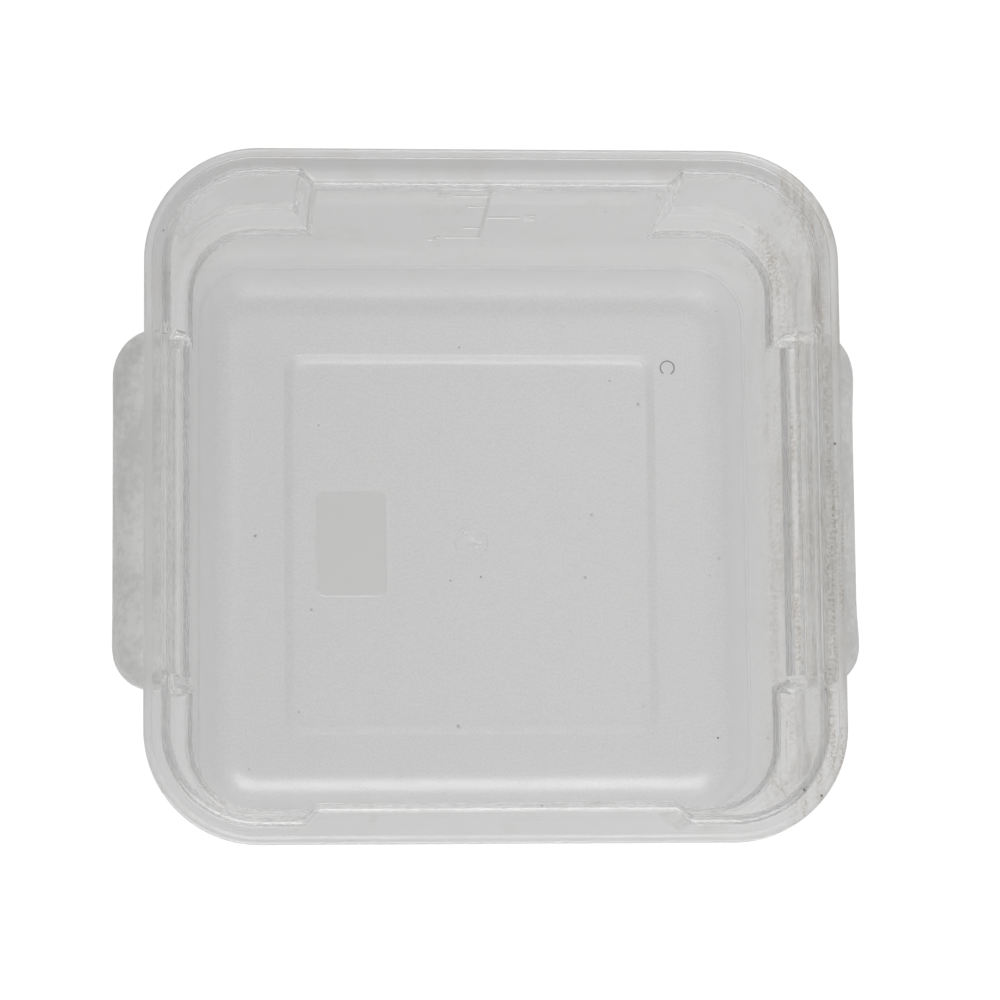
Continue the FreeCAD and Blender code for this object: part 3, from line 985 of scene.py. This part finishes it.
def shade(made, degrees):
    """Smooth shading that keeps large flat faces flat and edges over the angle sharp."""
    made.data.shade_smooth()
    made.data.set_sharp_from_angle(angle=math.radians(degrees))
    weigh = made.modifiers.new("weigh", "WEIGHTED_NORMAL")
    weigh.keep_sharp = True
    apply_modifiers(made)


def build_pan():
    pan = make_pan()
    plastics = [clear_plastic(), frosted_plastic(), smooth_plastic(), embossed_plastic(), scuffed_plastic()]
    ring_mark, *streaks = make_floor_marks()
    added = [(make_grips(), FROSTED), (make_patch(), SMOOTH), (ring_mark, SCUFFED)]
    added += [(streak, SMOOTH) for streak in streaks] + [(mark, EMBOSSED) for mark in make_marks()]
    for made in [pan] + [item for item, _ in added]:
        for material in plastics:
            made.data.materials.append(material)
    for made, slot in added:
        made.data.polygons.foreach_set("material_index", [slot] * len(made.data.polygons))
        apply_boolean(pan, made, "UNION")
    shade(pan, SHARP_ANGLE)
    finish_piece(pan, PAN_NODES)


# ---- setting ----

def make_floor():
    """Pale table, plain white to the camera itself and open from below, so that the underside shows."""
    size = TABLE_SIZE
    corners = [(-size, -size, 0), (size, -size, 0), (size, size, 0), (-size, size, 0)]
    floor = mesh_object("floor", np.array(corners), [(0, 1, 2, 3)])
    floor.location.z = -TABLE_GAP
    material, nodes, links, shader, output = new_material("floor")
    # painted light: the grey is paler towards the near right
    across = vector_maths(nodes, links, "DOT_PRODUCT", object_place(nodes, links), TABLE_PALER)
    shades = (TABLE - TABLE_PAINTED_LIGHT, TABLE + TABLE_PAINTED_LIGHT)
    grey = map_range(nodes, links, across, (-TABLE_REACH, TABLE_REACH), shades)
    links.new(grey, shader.inputs["Base Color"])
    shader.inputs["Roughness"].default_value = TABLE_ROUGH
    shader.inputs["Specular IOR Level"].default_value = TABLE_GLOSS
    white = nodes.new("ShaderNodeEmission")
    white.inputs["Strength"].default_value = BACKDROP
    mix = nodes.new("ShaderNodeMixShader")
    links.new(nodes.new("ShaderNodeLightPath").outputs["Is Camera Ray"], mix.inputs[0])
    links.new(shader.outputs[0], mix.inputs[1])
    links.new(white.outputs[0], mix.inputs[2])
    one_sided = nodes.new("ShaderNodeMixShader")
    links.new(nodes.new("ShaderNodeNewGeometry").outputs["Backfacing"], one_sided.inputs[0])
    links.new(mix.outputs[0], one_sided.inputs[1])
    links.new(nodes.new("ShaderNodeBsdfTransparent").outputs[0], one_sided.inputs[2])
    links.new(one_sided.outputs[0], output.inputs["Surface"])
    floor.data.materials.append(material)


def make_world():
    """Even soft light all round. The camera itself sees plain white, like the photograph's background."""
    world = bpy.data.worlds.new("studio")
    bpy.context.scene.world = world
    world.use_nodes = True
    nodes, links = world.node_tree.nodes, world.node_tree.links
    soft = nodes["Background"]
    soft.inputs["Color"].default_value = WHITE
    soft.inputs["Strength"].default_value = SURROUND
    white = nodes.new("ShaderNodeBackground")
    white.inputs["Color"].default_value = WHITE
    white.inputs["Strength"].default_value = BACKDROP
    mix = nodes.new("ShaderNodeMixShader")
    links.new(nodes.new("ShaderNodeLightPath").outputs["Is Camera Ray"], mix.inputs[0])
    links.new(soft.outputs[0], mix.inputs[1])
    links.new(white.outputs[0], mix.inputs[2])
    links.new(mix.outputs[0], nodes["World Output"].inputs["Surface"])


def area_light(name, place, size, power):
    """Soft rectangular light that points at the pan."""
    light = bpy.data.lights.new(name, "AREA")
    light.shape = "RECTANGLE"
    light.size, light.size_y = size
    light.energy = power
    made = bpy.data.objects.new(name, light)
    made.location = place
    made.rotation_mode = "QUATERNION"
    made.rotation_quaternion = (-Vector(place)).to_track_quat("-Z", "Y")
    bpy.context.scene.collection.objects.link(made)


def make_camera():
    """Camera nearly straight above, a little to the front and left, as a long lens sees it."""
    data = bpy.data.cameras.new("camera")
    data.lens = LONG_LENS
    data.sensor_width = SENSOR
    data.clip_start, data.clip_end = CLIP
    camera = bpy.data.objects.new("camera", data)
    right = Vector(CAMERA_RIGHT).normalized()
    back = Vector(CAMERA_BACK).normalized()
    up = back.cross(right).normalized()
    right = up.cross(back)
    turn = Matrix((right, up, back)).transposed().to_4x4()
    camera.matrix_world = Matrix.Translation(Vector(CAMERA_PLACE) * MM) @ turn
    bpy.context.scene.collection.objects.link(camera)
    bpy.context.scene.camera = camera


def make_setting():
    make_floor()
    make_world()
    for light in LIGHTS:
        area_light(*light)
    make_camera()
    scene = bpy.context.scene
    scene.view_settings.view_transform = "Standard"
    scene.cycles.max_bounces = GUIDED_BOUNCES
    scene.cycles.glossy_bounces = GUIDED_BOUNCES
    scene.cycles.transmission_bounces = THROUGH_BOUNCES
    scene.cycles.transparent_max_bounces = CLEAR_BOUNCES
    scene.cycles.caustics_reflective = False
    scene.cycles.caustics_refractive = False


build_pan()
make_setting()
